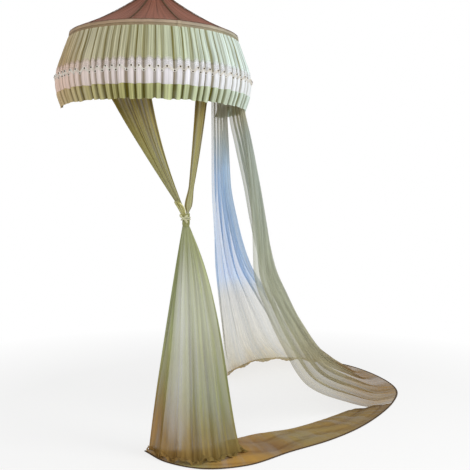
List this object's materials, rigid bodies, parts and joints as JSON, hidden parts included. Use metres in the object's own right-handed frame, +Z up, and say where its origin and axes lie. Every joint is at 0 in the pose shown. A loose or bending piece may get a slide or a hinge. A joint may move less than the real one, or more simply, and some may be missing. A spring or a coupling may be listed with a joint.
{
  "type": "bed crown canopy",
  "caption": "Net bed canopy that hangs from a ceiling hook: coned crown on a hoop with lace frills, a tied side curtain and long curtains swept over the floor.",
  "frame": {"origin": "middle of the ceiling plate's flat top face, where it meets the ceiling", "axes": "+Z up, -Y towards the open front that the picture faces, +X towards the swept train"},
  "size_m": [2.2477, 2.7754, 2.6],
  "materials": {
    "enamel": "smooth off-white enamel",
    "steel": "bright zinc plate",
    "plastic": "matt moulded",
    "rose_net": "sheer rose-brown net",
    "seam_tape": "olive-brown woven tape",
    "khaki_tape": "khaki woven tape",
    "sage_cotton": "pale sage gathered cotton voile",
    "white_lace": "white pleated lace",
    "green_cotton": "green voile ruffle",
    "sage_net": "sheer sage-olive net",
    "sky_net": "sheer pale blue net",
    "ochre_net": "sheer ochre net",
    "olive_binding": "dark olive bound edge"
  },
  "bodies": {
    "ceiling_fixing": {"ceiling_plate": "enamel", "ceiling_screw_1": "steel", "ceiling_screw_2": "steel", "ceiling_hook": "steel"},
    "canopy": {"hanging_ring": "steel", "hanging_loop": "khaki_tape", "top_cap": "khaki_tape", "apex_washer": "plastic", "hoop_band": "khaki_tape", "upper_valance": "sage_cotton", "lace_ruffle": "white_lace", "eyelet_trim": "white_lace", "hem_ruffle": "green_cotton", "gathered_neck": "sage_net", "left_swag": "sage_net", "front_fold": "sage_net", "bunched_edge": "sage_net", "left_fan": "sage_net", "front_train": "ochre_net", "right_curtain": "sage_net", "back_curtain": "sky_net", "hem_binding": "olive_binding", "cone_panel_1": "rose_net", "seam_tape_1": "seam_tape", "cone_panel_2": "rose_net", "seam_tape_2": "seam_tape", "cone_panel_3": "rose_net", "seam_tape_3": "seam_tape", "cone_panel_4": "rose_net", "seam_tape_4": "seam_tape", "cone_panel_5": "rose_net", "seam_tape_5": "seam_tape", "cone_panel_6": "rose_net", "seam_tape_6": "seam_tape", "cone_panel_7": "rose_net", "seam_tape_7": "seam_tape", "cone_panel_8": "rose_net", "seam_tape_8": "seam_tape", "cone_panel_9": "rose_net", "seam_tape_9": "seam_tape", "cone_panel_10": "rose_net", "seam_tape_10": "seam_tape", "cone_panel_11": "rose_net", "seam_tape_11": "seam_tape", "cone_panel_12": "rose_net", "seam_tape_12": "seam_tape", "hoop_segment_1": "steel", "hoop_connector_1": "plastic", "hoop_segment_2": "steel", "hoop_connector_2": "plastic", "hoop_segment_3": "steel", "hoop_connector_3": "plastic", "hoop_segment_4": "steel", "hoop_connector_4": "plastic"},
    "tie_back": {"tie_band": "sage_cotton", "tie_knot": "sage_cotton"}
  },
  "joints": [
    {"name": "canopy_swivel", "type": "hinge", "parent": "ceiling_fixing", "child": "canopy", "pos_m": [0, 0, -0.042], "axis": [0, 0, 1], "range_deg": [-45, 45]},
    {"name": "tie_slide", "type": "slide", "parent": "canopy", "child": "tie_back", "axis": [0, 0, 1], "range_m": [-0.024, 0]}
  ]
}
